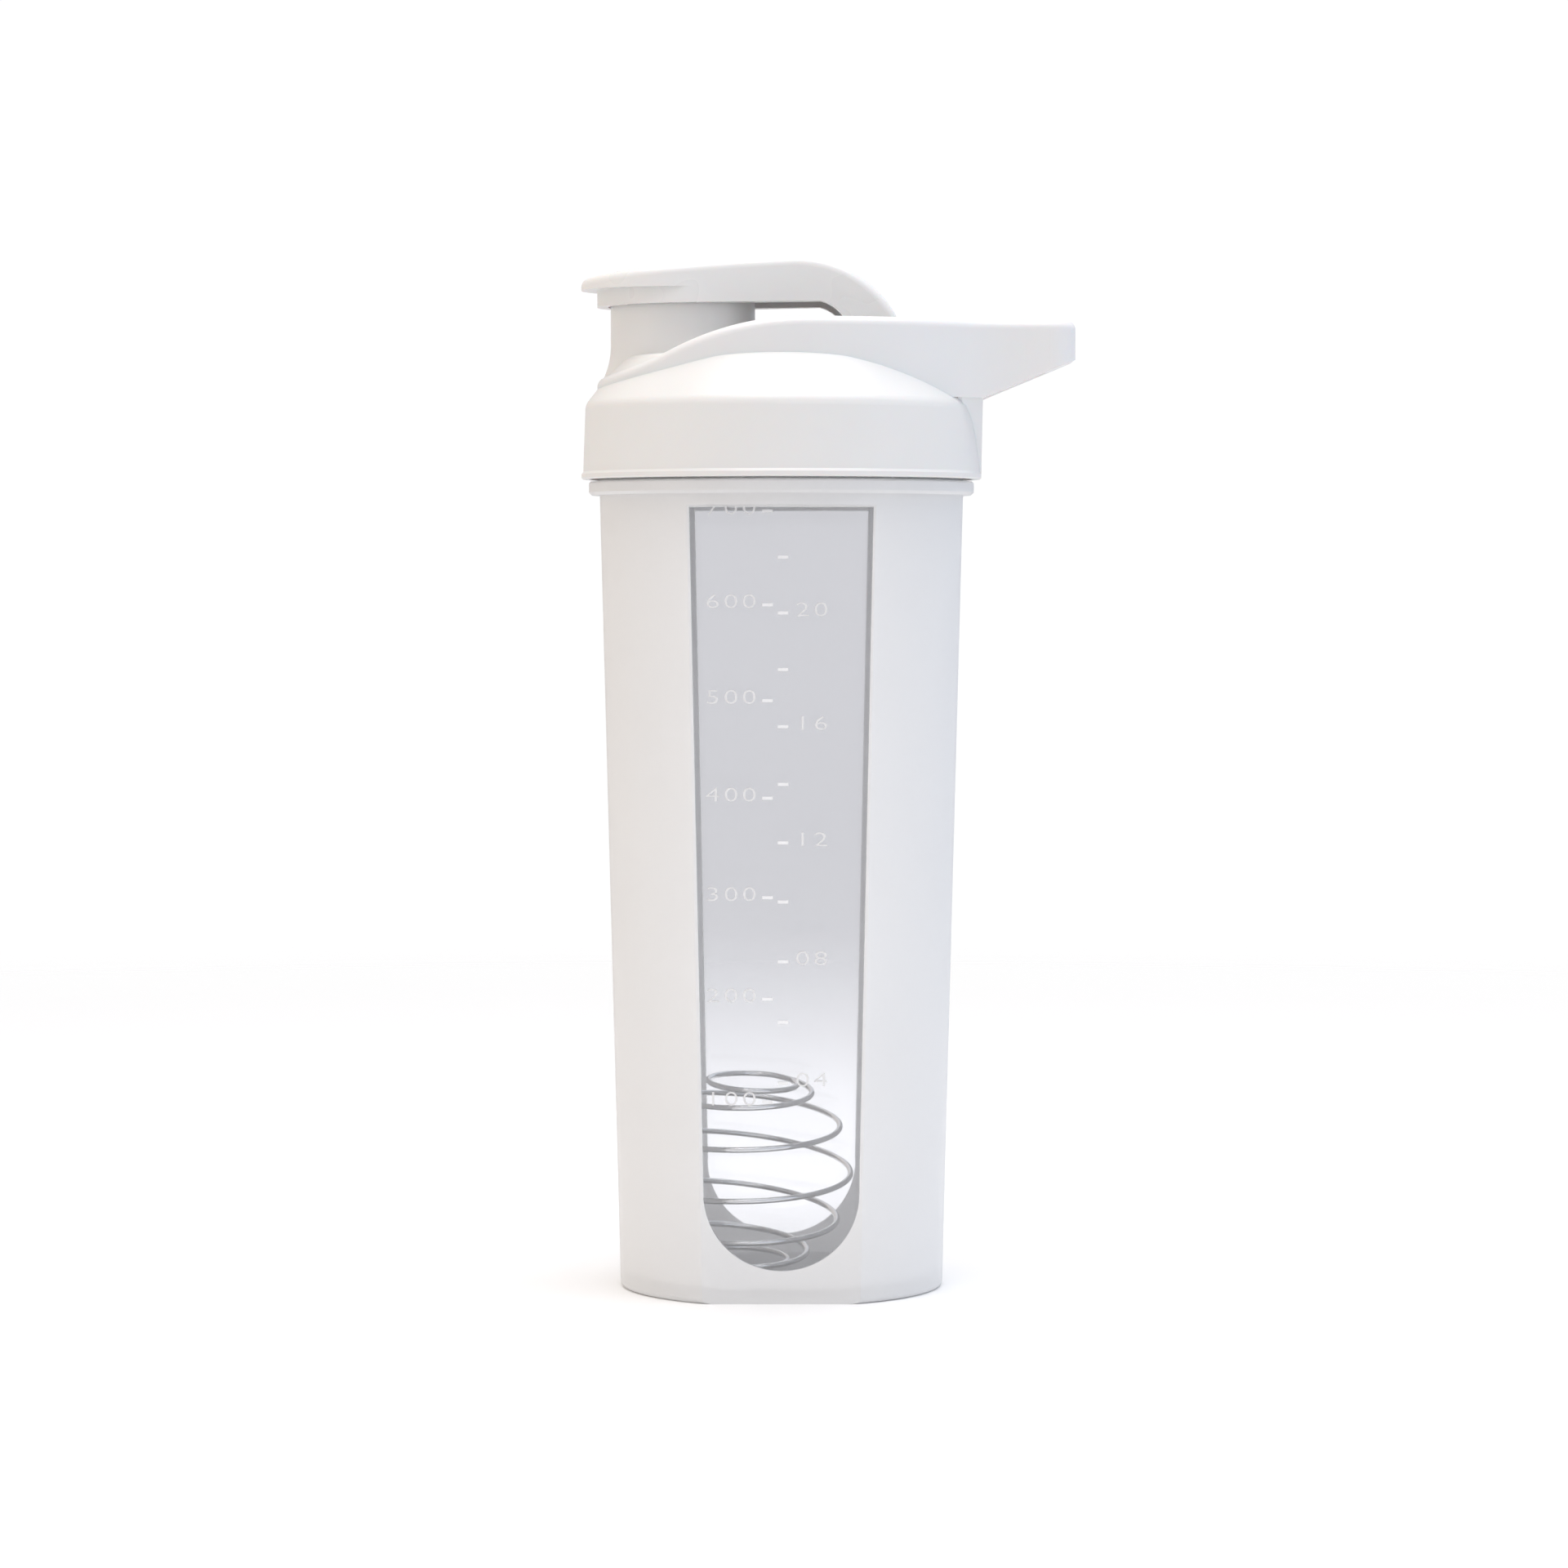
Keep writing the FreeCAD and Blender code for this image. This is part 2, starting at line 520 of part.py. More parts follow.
loop = new_body("carry_loop")
side_r, side_c = size("loop_side_r"), size("loop_side_r - loop_side_half")
front_x, waist_r = size("loop_front_x"), size("loop_waist_r")
reach = side_r + front_x
front_c = (reach ** 2 - side_c ** 2) / (2 * reach)      # round front, tangent inside the side arc
join = math.atan2(side_c, front_c)
turn = math.asin(size("loop_waist_x") / side_r)
waist = ((side_r + waist_r) * math.sin(turn), (side_r + waist_r) * math.cos(turn) - side_c)


def loop_side(inset, corner):
    """One side of the plan outline from front to tip, moved in by inset. All its arcs are tangent."""
    front_at, side_at = (front_c, 0.0), (0.0, -side_c)
    front_r, flank_r = front_c - front_x - inset, side_r - inset
    tip, level = size("loop_tip_x") - inset, waist[1] - waist_r - inset
    down = -math.pi / 2
    return [
        (front_at[0] - front_r, 0.0), via(around(front_at, front_r, (math.pi + join) / 2)),
        around(front_at, front_r, join), via(around(side_at, flank_r, (join + math.pi / 2 - turn) / 2)),
        around(side_at, flank_r, math.pi / 2 - turn), via(around(waist, waist_r + inset, down - turn / 2)),
        (waist[0], level),
        (tip - corner, level), via(around((tip - corner, level - corner), corner, math.pi / 4)),
        (tip, level - corner),
    ]


def loop_outline(sketch, inset, corner):
    """Whole plan outline: one side and its mirror image."""
    side = loop_side(inset, corner)
    mirrored = [(p[0], -p[1]) + tuple(p[2:]) for p in reversed(side[1:])]
    return outline(sketch, side + mirrored)


plan = new_sketch(loop, "loop_plan", "XY_Plane", {"z": "skirt_foot_z"})
loop_outline(plan, 0.0, size("loop_corner"))
loop_outline(plan, size("loop_band"), size("loop_hole_corner"))
stretched(loop, "loop_ring", "Pad", plan, "loop_top_z - skirt_foot_z + 2")
rise_at = (size("loop_rise_x"), size("loop_top_z - loop_rise_r"))
rise_turn = math.asin(size("(loop_rise_x - loop_dip_x) / loop_rise_r"))
dip = around(rise_at, "loop_rise_r", math.pi / 2 + rise_turn)
front_top = (size("loop_front_x - 0.4"), size("loop_front_z"))
above = outline(new_sketch(loop, "above_loop", "XZ_Plane"), [
    front_top, via(along_arc(dip, math.pi + rise_turn, front_top)), dip,
    via(around(rise_at, "loop_rise_r", math.pi / 2 + rise_turn / 2)), ("loop_rise_x", "loop_top_z"),
    ("clear_x", "loop_top_z"), ("clear_x", "clear_z"), (front_top[0], "clear_z"),
])
stretched(loop, "above_loop_cut", "Pocket", above, "3 * loop_side_half", midplane=True)
outside = size("loop_side_half - loop_band / 2")
for name, radius, outer in (("loop_top_round", "loop_edge_round", True),
                            ("loop_hole_round", "loop_edge_round / 2", False)):
    rounded(loop, name, radius, size("skirt_top_z"), 0.2,
            lambda box: (max(-box.YMin, box.YMax) > outside) == outer and box.XMin < 0 < box.XMax)
below = outline(new_sketch(loop, "below_loop", "XZ_Plane"), [
    ("hinge_x", "skirt_foot_z - 1"), ("hinge_x", "loop_root_z"), ("loop_root_x", "loop_root_z"),
    ("loop_tip_x + 1", "loop_tip_foot_z + 0.4"), ("clear_x", "loop_tip_foot_z + 0.4"),
    ("clear_x", "skirt_foot_z - 1"),
])
stretched(loop, "below_loop_cut", "Pocket", below, "3 * loop_side_half", midplane=True)

tongue_ends = []
for end, level in (("foot", "tongue_foot_z"), ("top", "loop_root_z + 1")):
    half, face = "tongue_%s_half" % end, "tongue_%s_face" % end
    tongue_ends.append(outline(new_sketch(loop, "tongue_" + end, "XY_Plane", {"z": level}), [
        ("tongue_x - 6", "-(%s)" % half), ("tongue_x - 5", "-(%s)" % half),
        ("tongue_x", "-(%s)" % face), ("tongue_x", face),
        ("tongue_x - 5", half), ("tongue_x - 6", half),
    ]))
tongue = loop.newObject("PartDesign::AdditiveLoft", "tongue")
tongue.Profile = tongue_ends[0]
tongue.Sections = tongue_ends[1:]
doc.recompute()
# seat on the dome and clear the spout
profile = outline(new_sketch(loop, "dome_seat_profile", "XZ_Plane"), [
    (0.0, "skirt_foot_z - 2"), ("skirt_foot_r", "skirt_foot_z - 2"),
] + LID_OUTSIDE)
turned(loop, "dome_seat", "Groove", profile)
profile = outline(new_sketch(loop, "spout_seat_profile", "XZ_Plane", at_spout), [
    (0.0, "skirt_top_z"), ("flare_foot_r", "skirt_top_z"), ("flare_foot_r", "flare_foot_z"),
    ("spout_r + 0.65", "flare_foot_z + 3.2", "via"), ("spout_r", "flare_top_z"),
    ("spout_r", "loop_top_z + 3"), (0.0, "loop_top_z + 3"),
])
turned(loop, "spout_seat", "Groove", profile)


# Whisk ball
# One stainless wire wound into an open ball, with a small closed ring at each pole.

def ball_path():
    """Points along the wire, ball centre at the origin and poles on Z. The wire runs from pole to
    pole in even turns, set a little closer near the poles, and each end goes on round as a ring
    that tucks inside the last turn."""
    radius, turns = size("ball_r"), size("ball_turns")
    top = math.sqrt(radius ** 2 - size("ball_ring_r") ** 2)
    twist = math.radians(size("ball_twist"))
    crowding, tuck_turns = 0.05, 1 / 3
    steps_per_turn = 24
    total, ring_steps = int(steps_per_turn * turns), steps_per_turn - 3
    points = []
    for step in range(-ring_steps, total + ring_steps + 1):
        share = min(max(step / total, 0.0), 1.0)
        lift = top * (2 * share - 2 * crowding * math.sin(2 * math.pi * share) - 1)
        past_pole = max(-step, step - total, 0) / steps_per_turn
        reach = math.sqrt(radius ** 2 - lift ** 2) - size("ring_tuck") * min(past_pole / tuck_turns, 1.0)
        angle = 2 * math.pi * step / steps_per_turn + twist
        points.append(FreeCAD.Vector(reach * math.cos(angle), reach * math.sin(angle), lift))
    return points


doc.recompute()
curve = Part.BSplineCurve()
curve.interpolate(ball_path())
wire = Part.Wire([curve.toShape()])
start = curve.value(curve.FirstParameter)
heading = curve.tangent(curve.FirstParameter)[0]
section = Part.Wire([Part.Circle(start, heading, size("wire_r")).toShape()])
whisk = doc.addObject("Part::Feature", "whisk_ball")
whisk.Shape = wire.makePipeShell([section], True, True)
whisk.Placement = FreeCAD.Placement(
    FreeCAD.Vector(size("ball_x"), 0, size("ball_z")),
    FreeCAD.Rotation(FreeCAD.Vector(0, 1, 0), size("ball_lean"))
    * FreeCAD.Rotation(FreeCAD.Vector(1, 0, 0), size("ball_tilt")))

doc.recompute()
nodes = [bottle_body, lid, gasket, pin, cap, seal, loop, whisk]
for item in doc.Objects:
    wrong = [word for word in item.State if word in ("Invalid", "Error")]
    if wrong:
        raise RuntimeError("%s is %s" % (item.Name, wrong))
for node in nodes:
    shape = node.Shape
    if shape.isNull() or not shape.isValid() or len(shape.Solids) != 1:
        raise RuntimeError("%s has no single valid solid" % node.Label)
    shape.exportStep("parts/%s.step" % node.Label)
    print(node.Label, round(shape.Volume / 1000.0, 2), "cm3")
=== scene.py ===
import math

import bmesh
import bpy
from mathutils import Matrix, Vector


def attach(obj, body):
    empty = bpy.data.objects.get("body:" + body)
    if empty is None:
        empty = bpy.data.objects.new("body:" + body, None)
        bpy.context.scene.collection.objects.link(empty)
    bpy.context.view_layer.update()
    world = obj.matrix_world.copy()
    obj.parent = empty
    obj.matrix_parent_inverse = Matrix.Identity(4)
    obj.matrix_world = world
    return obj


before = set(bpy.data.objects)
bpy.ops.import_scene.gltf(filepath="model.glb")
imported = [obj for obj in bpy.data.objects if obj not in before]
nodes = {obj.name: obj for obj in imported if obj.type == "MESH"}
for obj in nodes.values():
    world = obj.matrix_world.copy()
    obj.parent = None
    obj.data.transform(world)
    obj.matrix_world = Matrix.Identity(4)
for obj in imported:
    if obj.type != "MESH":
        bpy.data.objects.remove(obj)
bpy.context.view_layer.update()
print("frame loaded:", ", ".join(sorted(nodes)))


# camera and room

studio = {
    "eye": (0.0006, -1.154, 0.166),  # level with the upper third of the bottle
    "pitchDown": 2.446,
    "lens": 114.1,
    "sensorWidth": 36,
    "nearest": 0.05,
    "farthest": 50,
    "floorRadius": 1.3,
    "floorFade": (0.40, 1.15),  # the floor melts into the backdrop between these radii
    "floorColour": (0.93, 0.93, 0.93, 1),
    "floorRoughness": 0.6,
    "floorSegments": 96,
    "backdrop": 1.02,
    "roomGrey": 0.76,  # what the clear window and the gloss pick up
    "roomTop": 0.95,
    "roomWarm": (1.0, 0.90, 0.80),  # on the spout's side
    "roomCool": (0.86, 0.93, 1.06),  # on the loop's side
    "sideBlend": (-0.8, 0.8),
    "heightBlend": (-0.05, 0.7),
    "lamps": [
        # name, place, aim, width, height, watts, colour
        ("overheadSoftbox", (0.05, -0.10, 1.05), (0, 0, 0.2), 0.9, 0.7, 6.5, (1.0, 0.99, 0.98)),
        ("leftWarmCard", (-1.00, -0.45, 0.40), (0, 0, 0.15), 0.4, 0.9, 0.4, (1.0, 0.84, 0.70)),
        ("rightCoolCard", (1.00, -0.60, 0.35), (0, 0, 0.12), 0.4, 0.9, 0.4, (0.80, 0.88, 1.0)),
    ],
}


def placeCamera():
    camera = bpy.data.objects.new("camera", bpy.data.cameras.new("camera"))
    camera.data.lens = studio["lens"]
    camera.data.sensor_width = studio["sensorWidth"]
    camera.data.clip_start, camera.data.clip_end = studio["nearest"], studio["farthest"]
    camera.location = studio["eye"]
    camera.rotation_euler = (math.radians(90 - studio["pitchDown"]), 0, 0)
    bpy.context.collection.objects.link(camera)
    bpy.context.scene.camera = camera


def layFloor():
    shape = bmesh.new()
    bmesh.ops.create_circle(shape, cap_ends=True, segments=studio["floorSegments"],
                             radius=studio["floorRadius"])
    floor = linkMesh("studioFloor", shape)
    material, tree, paint = startMaterial("paleFloor", Base_Color=studio["floorColour"],
                                          Roughness=studio["floorRoughness"])
    coords = tree.nodes.new("ShaderNodeTexCoord")
    distance = tree.nodes.new("ShaderNodeVectorMath")
    distance.operation = "LENGTH"
    tree.links.new(coords.outputs["Object"], distance.inputs[0])
    start, end = studio["floorFade"]
    fade = spread(tree, distance.outputs["Value"], start, end, 1.0, 0.0)
    tree.links.new(fade, paint.inputs["Alpha"])
    floor.data.materials.append(material)


def lightRoom():
    for name, place, aim, width, height, watts, colour in studio["lamps"]:
        lamp = bpy.data.lights.new(name, "AREA")
        lamp.shape, lamp.size, lamp.size_y = "RECTANGLE", width, height
        lamp.energy, lamp.color = watts, colour
        holder = bpy.data.objects.new(name, lamp)
        holder.location = place
        holder.rotation_euler = (Vector(aim) - Vector(place)).to_track_quat("-Z", "Y").to_euler()
        bpy.context.collection.objects.link(holder)
    world = bpy.data.worlds.new("studioRoom")
    world.use_nodes = True
    bpy.context.scene.world = world
    tree = world.node_tree
    tree.nodes.clear()
    # grey walls and a bright ceiling light the piece, and the backdrop itself stays white
    coords = tree.nodes.new("ShaderNodeTexCoord")
    split = tree.nodes.new("ShaderNodeSeparateXYZ")
    path = tree.nodes.new("ShaderNodeLightPath")
    walls, sweep = tree.nodes.new("ShaderNodeBackground"), tree.nodes.new("ShaderNodeBackground")
    side = spread(tree, split.outputs["X"], *studio["sideBlend"], 0.0, 1.0)
    tree.links.new(tint(tree, side, studio["roomWarm"], studio["roomCool"]), walls.inputs["Color"])
    sweep.inputs["Strength"].default_value = studio["backdrop"]
    sweep.inputs["Color"].default_value = (1, 1, 1, 1)
    pick, out = tree.nodes.new("ShaderNodeMixShader"), tree.nodes.new("ShaderNodeOutputWorld")
    link = tree.links.new
    link(coords.outputs["Generated"], split.inputs[0])
    glow = spread(tree, split.outputs["Z"], *studio["heightBlend"], studio["roomGrey"], studio["roomTop"])
    link(glow, walls.inputs["Strength"])
    link(path.outputs["Is Camera Ray"], pick.inputs[0])
    link(walls.outputs[0], pick.inputs[1])
    link(sweep.outputs[0], pick.inputs[2])
    link(pick.outputs[0], out.inputs["Surface"])
    bpy.context.scene.view_settings.view_transform = "Standard"


# small helpers for meshes and nodes

def linkMesh(name, shape):
    mesh = bpy.data.meshes.new(name)
    shape.to_mesh(mesh)
    shape.free()
    piece = bpy.data.objects.new(name, mesh)
    bpy.context.collection.objects.link(piece)
    return piece


def startMaterial(name, **settings):
    material = bpy.data.materials.new(name)
    material.use_nodes = True
    shader = material.node_tree.nodes["Principled BSDF"]
    for socket, value in settings.items():
        shader.inputs[socket.replace("_", " ")].default_value = value
    return material, material.node_tree, shader


def plug(tree, value, socket):
    if isinstance(value, (int, float)):
        socket.default_value = value
    else:
        tree.links.new(value, socket)


def calculate(tree, operation, first, second=0.0, third=None):
    node = tree.nodes.new("ShaderNodeMath")
    node.operation = operation
    plug(tree, first, node.inputs[0])
    plug(tree, second, node.inputs[1])
    if third is not None:
        plug(tree, third, node.inputs[2])
    return node.outputs[0]


def spread(tree, value, low, high, toLow, toHigh):
    node = tree.nodes.new("ShaderNodeMapRange")
    plug(tree, value, node.inputs["Value"])
    node.inputs["From Min"].default_value = low
    node.inputs["From Max"].default_value = high
    node.inputs["To Min"].default_value = toLow
    node.inputs["To Max"].default_value = toHigh
    return node.outputs[0]


# a value that wanders either side of the middle as the noise goes through its usual range
def vary(tree, noise, middle, swing):
    return spread(tree, noise, 0.3, 0.7, middle - swing, middle + swing)


# noise on object coordinates, with features of about this size in metres
def grain(tree, size, detail=2.0, stretch=(1, 1, 1)):
    coords = tree.nodes.new("ShaderNodeTexCoord")
    mapping = tree.nodes.new("ShaderNodeMapping")
    mapping.inputs["Scale"].default_value = [1 / (size * s) for s in stretch]
    noise = tree.nodes.new("ShaderNodeTexNoise")
    noise.inputs["Scale"].default_value = 1.0
    noise.inputs["Detail"].default_value = detail
    tree.links.new(coords.outputs["Object"], mapping.inputs["Vector"])
    tree.links.new(mapping.outputs[0], noise.inputs["Vector"])
    return noise.outputs[0]


def tint(tree, factor, low, high):
    node = tree.nodes.new("ShaderNodeMix")
    node.data_type = "RGBA"
    plug(tree, factor, node.inputs[0])
    node.inputs["A"].default_value = (*low, 1)
    node.inputs["B"].default_value = (*high, 1)
    return node.outputs["Result"]


def emboss(tree, shader, height, distance, strength=1.0):
    bump = tree.nodes.new("ShaderNodeBump")
    bump.inputs["Distance"].default_value = distance
    bump.inputs["Strength"].default_value = strength
    tree.links.new(height, bump.inputs["Height"])
    tree.links.new(bump.outputs[0], shader.inputs["Normal"])


def dress(node, material):
    piece = nodes[node]
    piece.data.materials.clear()
    piece.data.materials.append(material)


placeCamera()
layFloor()
lightRoom()
print("studio ready")


# bottle body: frosted walls, and a clear window let into each flat

window = {
    "flatFootY": 0.0329,  # the flat leans outwards from here ...
    "flatTopY": 0.0362,  # ... to here
    "flatTopZ": 0.181,
    "topZ": 0.1806,
    "topHalf": 0.0208,
    "roundZ": 0.0254,
    "lowHalf": 0.0177,
    "roundCentreZ": 0.0253,
    "roundRadius": 0.0178,
    "edge": 0.00012,  # how sharply the frosting stops
    "wall": 0.0023,
    "recess": 0.0001,  # deeper than this under the flat counts as window
    "clearRoughness": 0.035,
    "frostRoughness": 0.40,
    "roughnessSwing": 0.05,
    "clearColour": (0.955, 0.965, 0.985, 1),
    "milkyLow": (0.985, 0.987, 0.992),
    "milkyHigh": (0.995, 0.996, 0.998),
    "cloudSize": 0.018,
    "pitSize": 0.0005,
    "pitDepth": 0.00003,
    "clearTransmission": 0.97,
    "frostTransmission": 0.38,
}


# one inside the clear window on either flat, nought on the frosted walls and the raised marks
def windowMask(tree):
    coords = tree.nodes.new("ShaderNodeTexCoord")
    split = tree.nodes.new("ShaderNodeSeparateXYZ")
    tree.links.new(coords.outputs["Object"], split.inputs[0])
    x, y, z = (split.outputs[axis] for axis in "XYZ")
    across = calculate(tree, "ABSOLUTE", x)
    lean = (window["flatTopY"] - window["flatFootY"]) / window["flatTopZ"]
    flatY = calculate(tree, "MULTIPLY_ADD", z, lean, window["flatFootY"])
    proud = calculate(tree, "SUBTRACT", calculate(tree, "ABSOLUTE", y), flatY)
    onFlat = calculate(tree, "MULTIPLY", calculate(tree, "GREATER_THAN", proud, -window["wall"]),
                  calculate(tree, "LESS_THAN", proud, -window["recess"]))
    flare = (window["topHalf"] - window["lowHalf"]) / (window["topZ"] - window["roundZ"])
    rise = calculate(tree, "SUBTRACT", z, window["roundZ"])
    half = calculate(tree, "MULTIPLY_ADD", rise, flare, window["lowHalf"])
    sideRoom = calculate(tree, "SUBTRACT", half, across)
    drop = calculate(tree, "MINIMUM", calculate(tree, "SUBTRACT", z, window["roundCentreZ"]), 0.0)
    dropSquared = calculate(tree, "MULTIPLY", drop, drop)
    reach = calculate(tree, "SQRT", calculate(tree, "MULTIPLY_ADD", x, x, dropSquared))
    footRoom = calculate(tree, "SUBTRACT", window["roundRadius"], reach)
    low = calculate(tree, "LESS_THAN", z, window["roundZ"])
    room = calculate(tree, "ADD", calculate(tree, "MULTIPLY", footRoom, low),
                calculate(tree, "MULTIPLY", sideRoom, calculate(tree, "SUBTRACT", 1.0, low)))
    room = calculate(tree, "MINIMUM", room, calculate(tree, "SUBTRACT", window["topZ"], z))
    inside = spread(tree, room, 0.0, window["edge"], 0.0, 1.0)
    return calculate(tree, "MULTIPLY", inside, onFlat)


def frostedPolypropylene():
    material, tree, shader = startMaterial("frostedPolypropylene", IOR=1.49)
    clear = windowMask(tree)
    # slow milky variation from the moulding, and the etched texture of the frosted walls
    cloud = grain(tree, window["cloudSize"], 3.0, (1, 1, 2.4))
    pits = grain(tree, window["pitSize"], 2.0)
    frostRoughness = vary(tree, cloud, window["frostRoughness"], window["roughnessSwing"])
    rough = tree.nodes.new("ShaderNodeMix")
    plug(tree, clear, rough.inputs[0])
    plug(tree, frostRoughness, rough.inputs["A"])
    plug(tree, window["clearRoughness"], rough.inputs["B"])
    plug(tree, rough.outputs[0], shader.inputs["Roughness"])
    passing = spread(tree, clear, 0.0, 1.0, window["frostTransmission"], window["clearTransmission"])
    plug(tree, passing, shader.inputs["Transmission Weight"])
    milky = tint(tree, cloud, window["milkyLow"], window["milkyHigh"])
    colour = tree.nodes.new("ShaderNodeMix")
    colour.data_type = "RGBA"
    plug(tree, clear, colour.inputs[0])
    tree.links.new(milky, colour.inputs["A"])
    colour.inputs["B"].default_value = window["clearColour"]
    tree.links.new(colour.outputs["Result"], shader.inputs["Base Color"])
    frostOnly = calculate(tree, "MULTIPLY", pits, calculate(tree, "SUBTRACT", 1.0, clear))
    emboss(tree, shader, frostOnly, window["pitDepth"], 0.6)
    return material


# raised numbers beside the ticks, millilitres on the left and ounces on the right

numbers = {
    "height": 0.0032,
    "widen": 1.5,  # broad, almost square digits
    "thin": -0.00006,  # draws the strokes in a little
    "gap": 1.2,
    "rise": 0.0003,
    "sunk": 0.0004,
    "lift": 0.0006,  # the digits stand a little above their tick
    "markZ": 0.0461,  # the 100 ml level, and how each further 100 ml rises less
    "markStep": 0.0237,
    "markShrink": 0.00024,
    "capHeight": 0.7,  # of the font's size
    "curveSteps": 4,
    "weld": 1e-6,
    "colourLow": (0.95, 0.952, 0.955),
    "colourHigh": (0.985, 0.985, 0.988),
    "roughness": 0.36,
    "roughnessSwing": 0.06,
    "transmission": 0.3,
    "grainSize": 0.0008,
    "millilitres": {"x": -0.0055, "align": "RIGHT", "amounts": range(100, 701, 100), "unit": 1.0},
    "ounces": {"x": 0.0031, "align": "LEFT", "amounts": range(4, 25, 4), "unit": 29.57},
}


# height of a filled volume on the front flat, the same curve the ticks stand on
def levelOf(millilitres):
    hundreds = millilitres / 100 - 1
    return numbers["markZ"] + hundreds * numbers["markStep"] - hundreds ** 2 * numbers["markShrink"]


# adds one number, standing upright on the front flat
def raiseNumber(shape, label, x, z, align):
    text = bpy.data.curves.new(label, "FONT")
    text.body, text.align_x, text.align_y = label, align, "CENTER"
    text.size = numbers["height"] / numbers["capHeight"]
    text.extrude = (numbers["rise"] + numbers["sunk"]) / 2
    text.space_character = numbers["gap"]
    text.offset = numbers["thin"]
    text.resolution_u = numbers["curveSteps"]
    holder = bpy.data.objects.new(label, text)
    mesh = bpy.data.meshes.new_from_object(holder)
    lean = math.atan2(window["flatTopY"] - window["flatFootY"], window["flatTopZ"])
    outwards = (numbers["rise"] - numbers["sunk"]) / 2
    flatY = window["flatFootY"] + z * math.tan(lean) + outwards
    upright = Matrix.Rotation(math.pi / 2 + lean, 4, "X")
    mesh.transform(Matrix.Translation((x, -flatY, z)) @ upright @ Matrix.Diagonal((numbers["widen"], 1, 1, 1)))
    shape.from_mesh(mesh)
    bpy.data.objects.remove(holder)
    bpy.data.meshes.remove(mesh)


def raiseNumbers():
    shape = bmesh.new()
    for side in ("millilitres", "ounces"):
        row = numbers[side]
        for amount in row["amounts"]:
            z = levelOf(amount * row["unit"]) + numbers["lift"]
            raiseNumber(shape, "%02d" % amount, row["x"], z, row["align"])
    bmesh.ops.remove_doubles(shape, verts=shape.verts, dist=numbers["weld"])
    bmesh.ops.recalc_face_normals(shape, faces=shape.faces)
    piece = linkMesh("graduation_numbers", shape)
    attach(piece, "bottle")
    return piece


def raisedPolypropylene():
    material, tree, shader = startMaterial("raisedPolypropylene", IOR=1.49,
                                           Transmission_Weight=numbers["transmission"])
    worn = grain(tree, numbers["grainSize"], 2.0)
    white = tint(tree, worn, numbers["colourLow"], numbers["colourHigh"])
    tree.links.new(white, shader.inputs["Base Color"])
    sheen = vary(tree, worn, numbers["roughness"], numbers["roughnessSwing"])
    plug(tree, sheen, shader.inputs["Roughness"])
    return material


raiseNumbers().data.materials.append(raisedPolypropylene())
print("graduations raised")


# white mouldings: lid, flip cap and carry loop

lidWhite = {"name": "lidPolypropylene", "colour": (0.745, 0.743, 0.737), "shade": (0.72, 0.717, 0.709),
            "roughness": 0.32}
capWhite = {"name": "capPolypropylene", "colour": (0.745, 0.743, 0.737), "shade": (0.72, 0.717, 0.709),
            "roughness": 0.30}
loopWhite = {"name": "loopPolypropylene", "colour": (0.735, 0.737, 0.742), "shade": (0.715, 0.717, 0.722),
             "roughness": 0.34}
moulding = {"flowSize": 0.022, "sparkSize": 0.00035, "sparkDepth": 0.00002, "roughnessSwing": 0.04,
            "subsurface": 0.12, "subsurfaceDepth": 0.002}


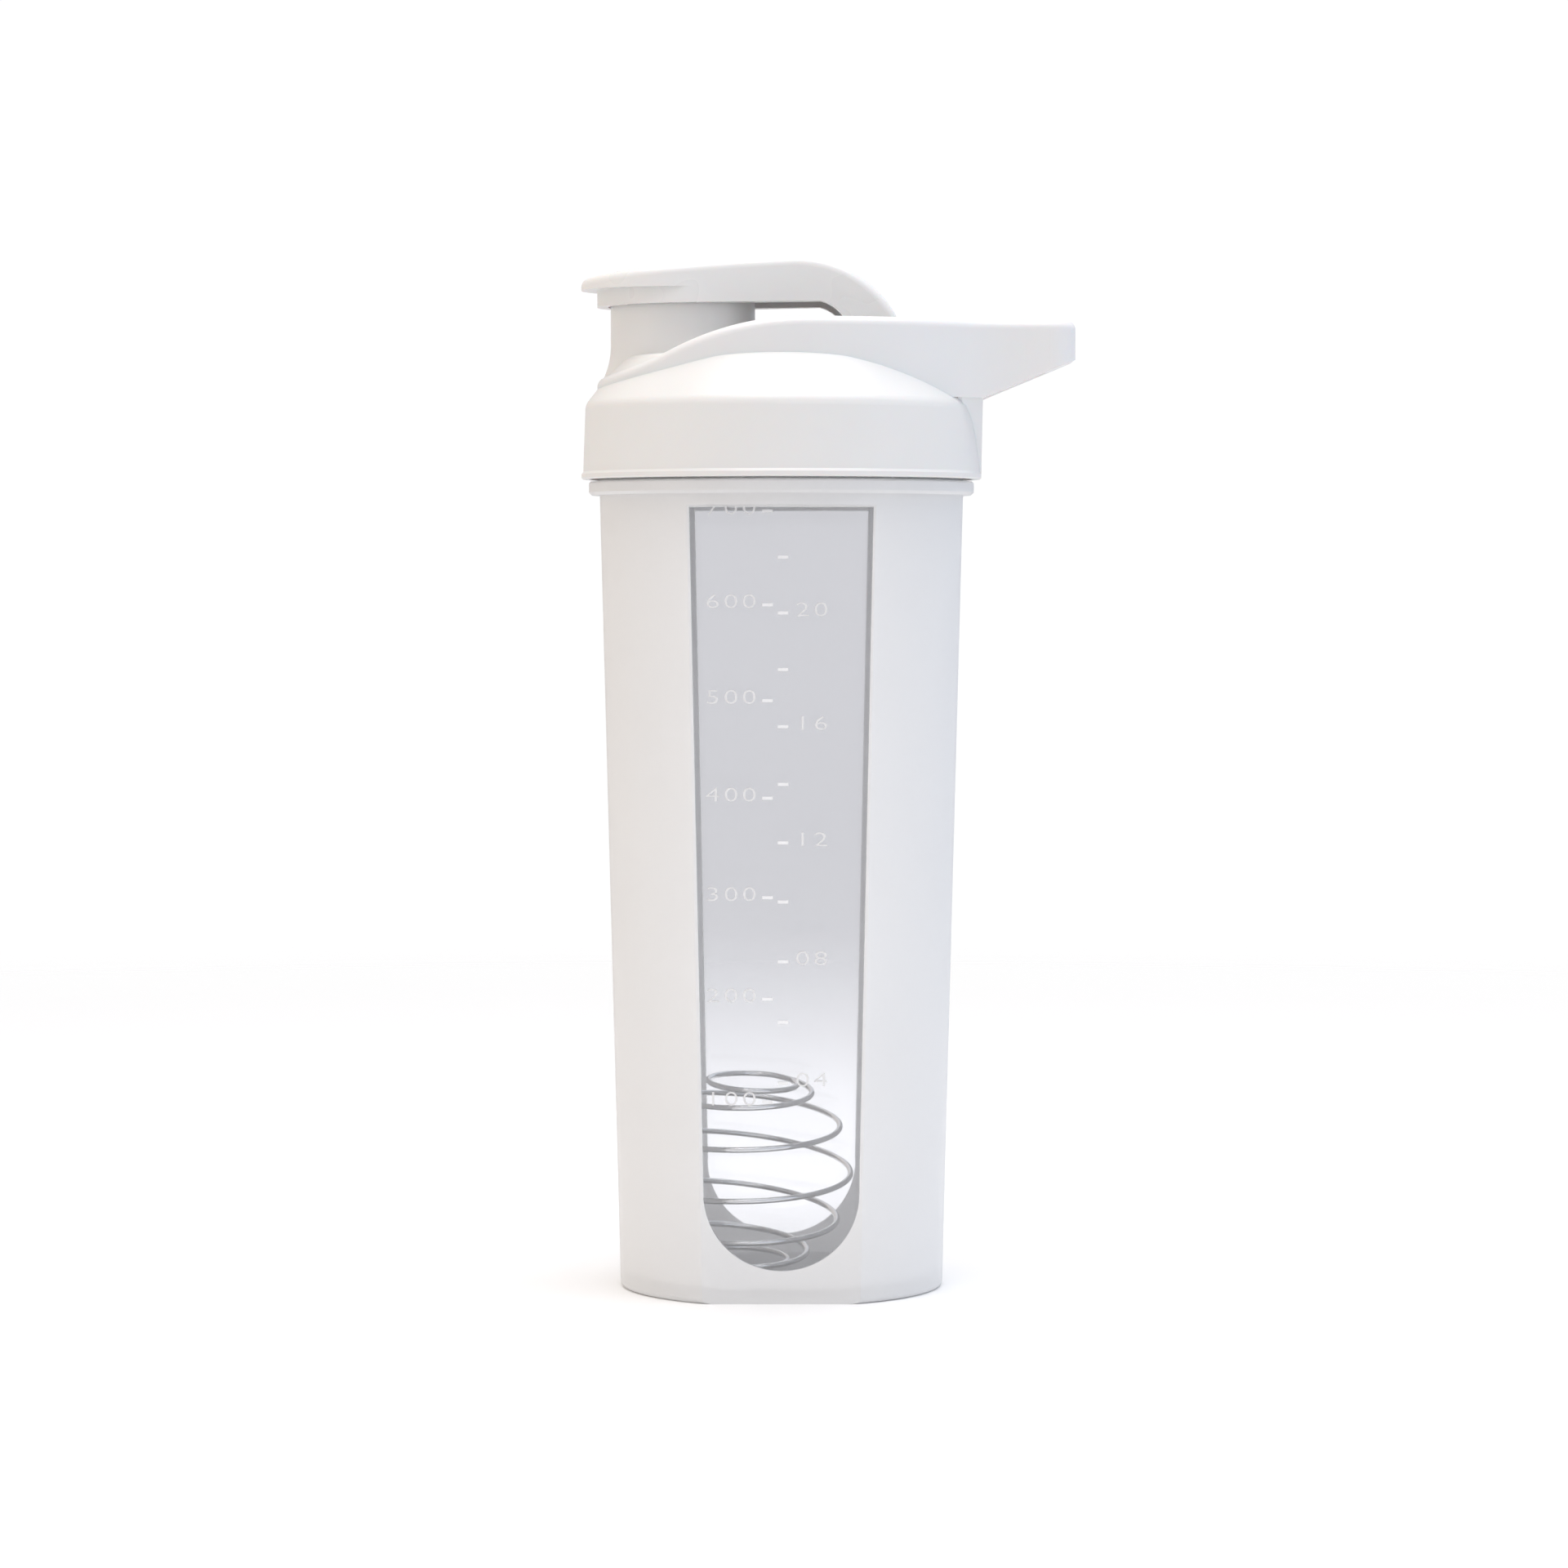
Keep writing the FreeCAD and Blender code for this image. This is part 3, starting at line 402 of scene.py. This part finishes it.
def whitePolypropylene(piece):
    material, tree, shader = startMaterial(piece["name"], IOR=1.49, Subsurface_Weight=moulding["subsurface"],
                                           Subsurface_Scale=moulding["subsurfaceDepth"])
    flow = grain(tree, moulding["flowSize"], 2.0)
    spark = grain(tree, moulding["sparkSize"], 2.0)
    tree.links.new(tint(tree, flow, piece["shade"], piece["colour"]), shader.inputs["Base Color"])
    plug(tree, vary(tree, flow, piece["roughness"], moulding["roughnessSwing"]), shader.inputs["Roughness"])
    emboss(tree, shader, spark, moulding["sparkDepth"], 0.5)
    return material


# spout seal and gasket

silicone = {"colourLow": (0.78, 0.79, 0.80), "colourHigh": (0.86, 0.865, 0.87), "roughness": 0.50,
            "roughnessSwing": 0.08, "dustSize": 0.0009, "dustDepth": 0.00002, "subsurface": 0.3,
            "subsurfaceDepth": 0.003}


def siliconeRubber():
    material, tree, shader = startMaterial("siliconeRubber", IOR=1.42,
                                           Subsurface_Weight=silicone["subsurface"],
                                           Subsurface_Scale=silicone["subsurfaceDepth"])
    dust = grain(tree, silicone["dustSize"], 3.0)
    pale = tint(tree, dust, silicone["colourLow"], silicone["colourHigh"])
    tree.links.new(pale, shader.inputs["Base Color"])
    sheen = vary(tree, dust, silicone["roughness"], silicone["roughnessSwing"])
    plug(tree, sheen, shader.inputs["Roughness"])
    emboss(tree, shader, dust, silicone["dustDepth"], 0.5)
    return material


# whisk ball and hinge pin

steel = {"colourLow": (0.70, 0.70, 0.705), "colourHigh": (0.82, 0.82, 0.82), "roughness": 0.20,
         "roughnessSwing": 0.06, "drawnSize": 0.0004, "drawnDepth": 0.00001}


def stainlessWire(name):
    material, tree, shader = startMaterial(name, Metallic=1.0)
    drawn = grain(tree, steel["drawnSize"], 3.0, (1, 1, 0.3))
    tree.links.new(tint(tree, drawn, steel["colourLow"], steel["colourHigh"]), shader.inputs["Base Color"])
    plug(tree, vary(tree, drawn, steel["roughness"], steel["roughnessSwing"]), shader.inputs["Roughness"])
    emboss(tree, shader, drawn, steel["drawnDepth"], 0.4)
    return material


dress("bottle_body", frostedPolypropylene())
dress("lid_shell", whitePolypropylene(lidWhite))
dress("flip_cap", whitePolypropylene(capWhite))
dress("carry_loop", whitePolypropylene(loopWhite))
dress("spout_seal", siliconeRubber())
dress("lid_gasket", siliconeRubber())
dress("hinge_pin", stainlessWire("pinSteel"))
dress("whisk_ball", stainlessWire("whiskWire"))
print("materials dressed")
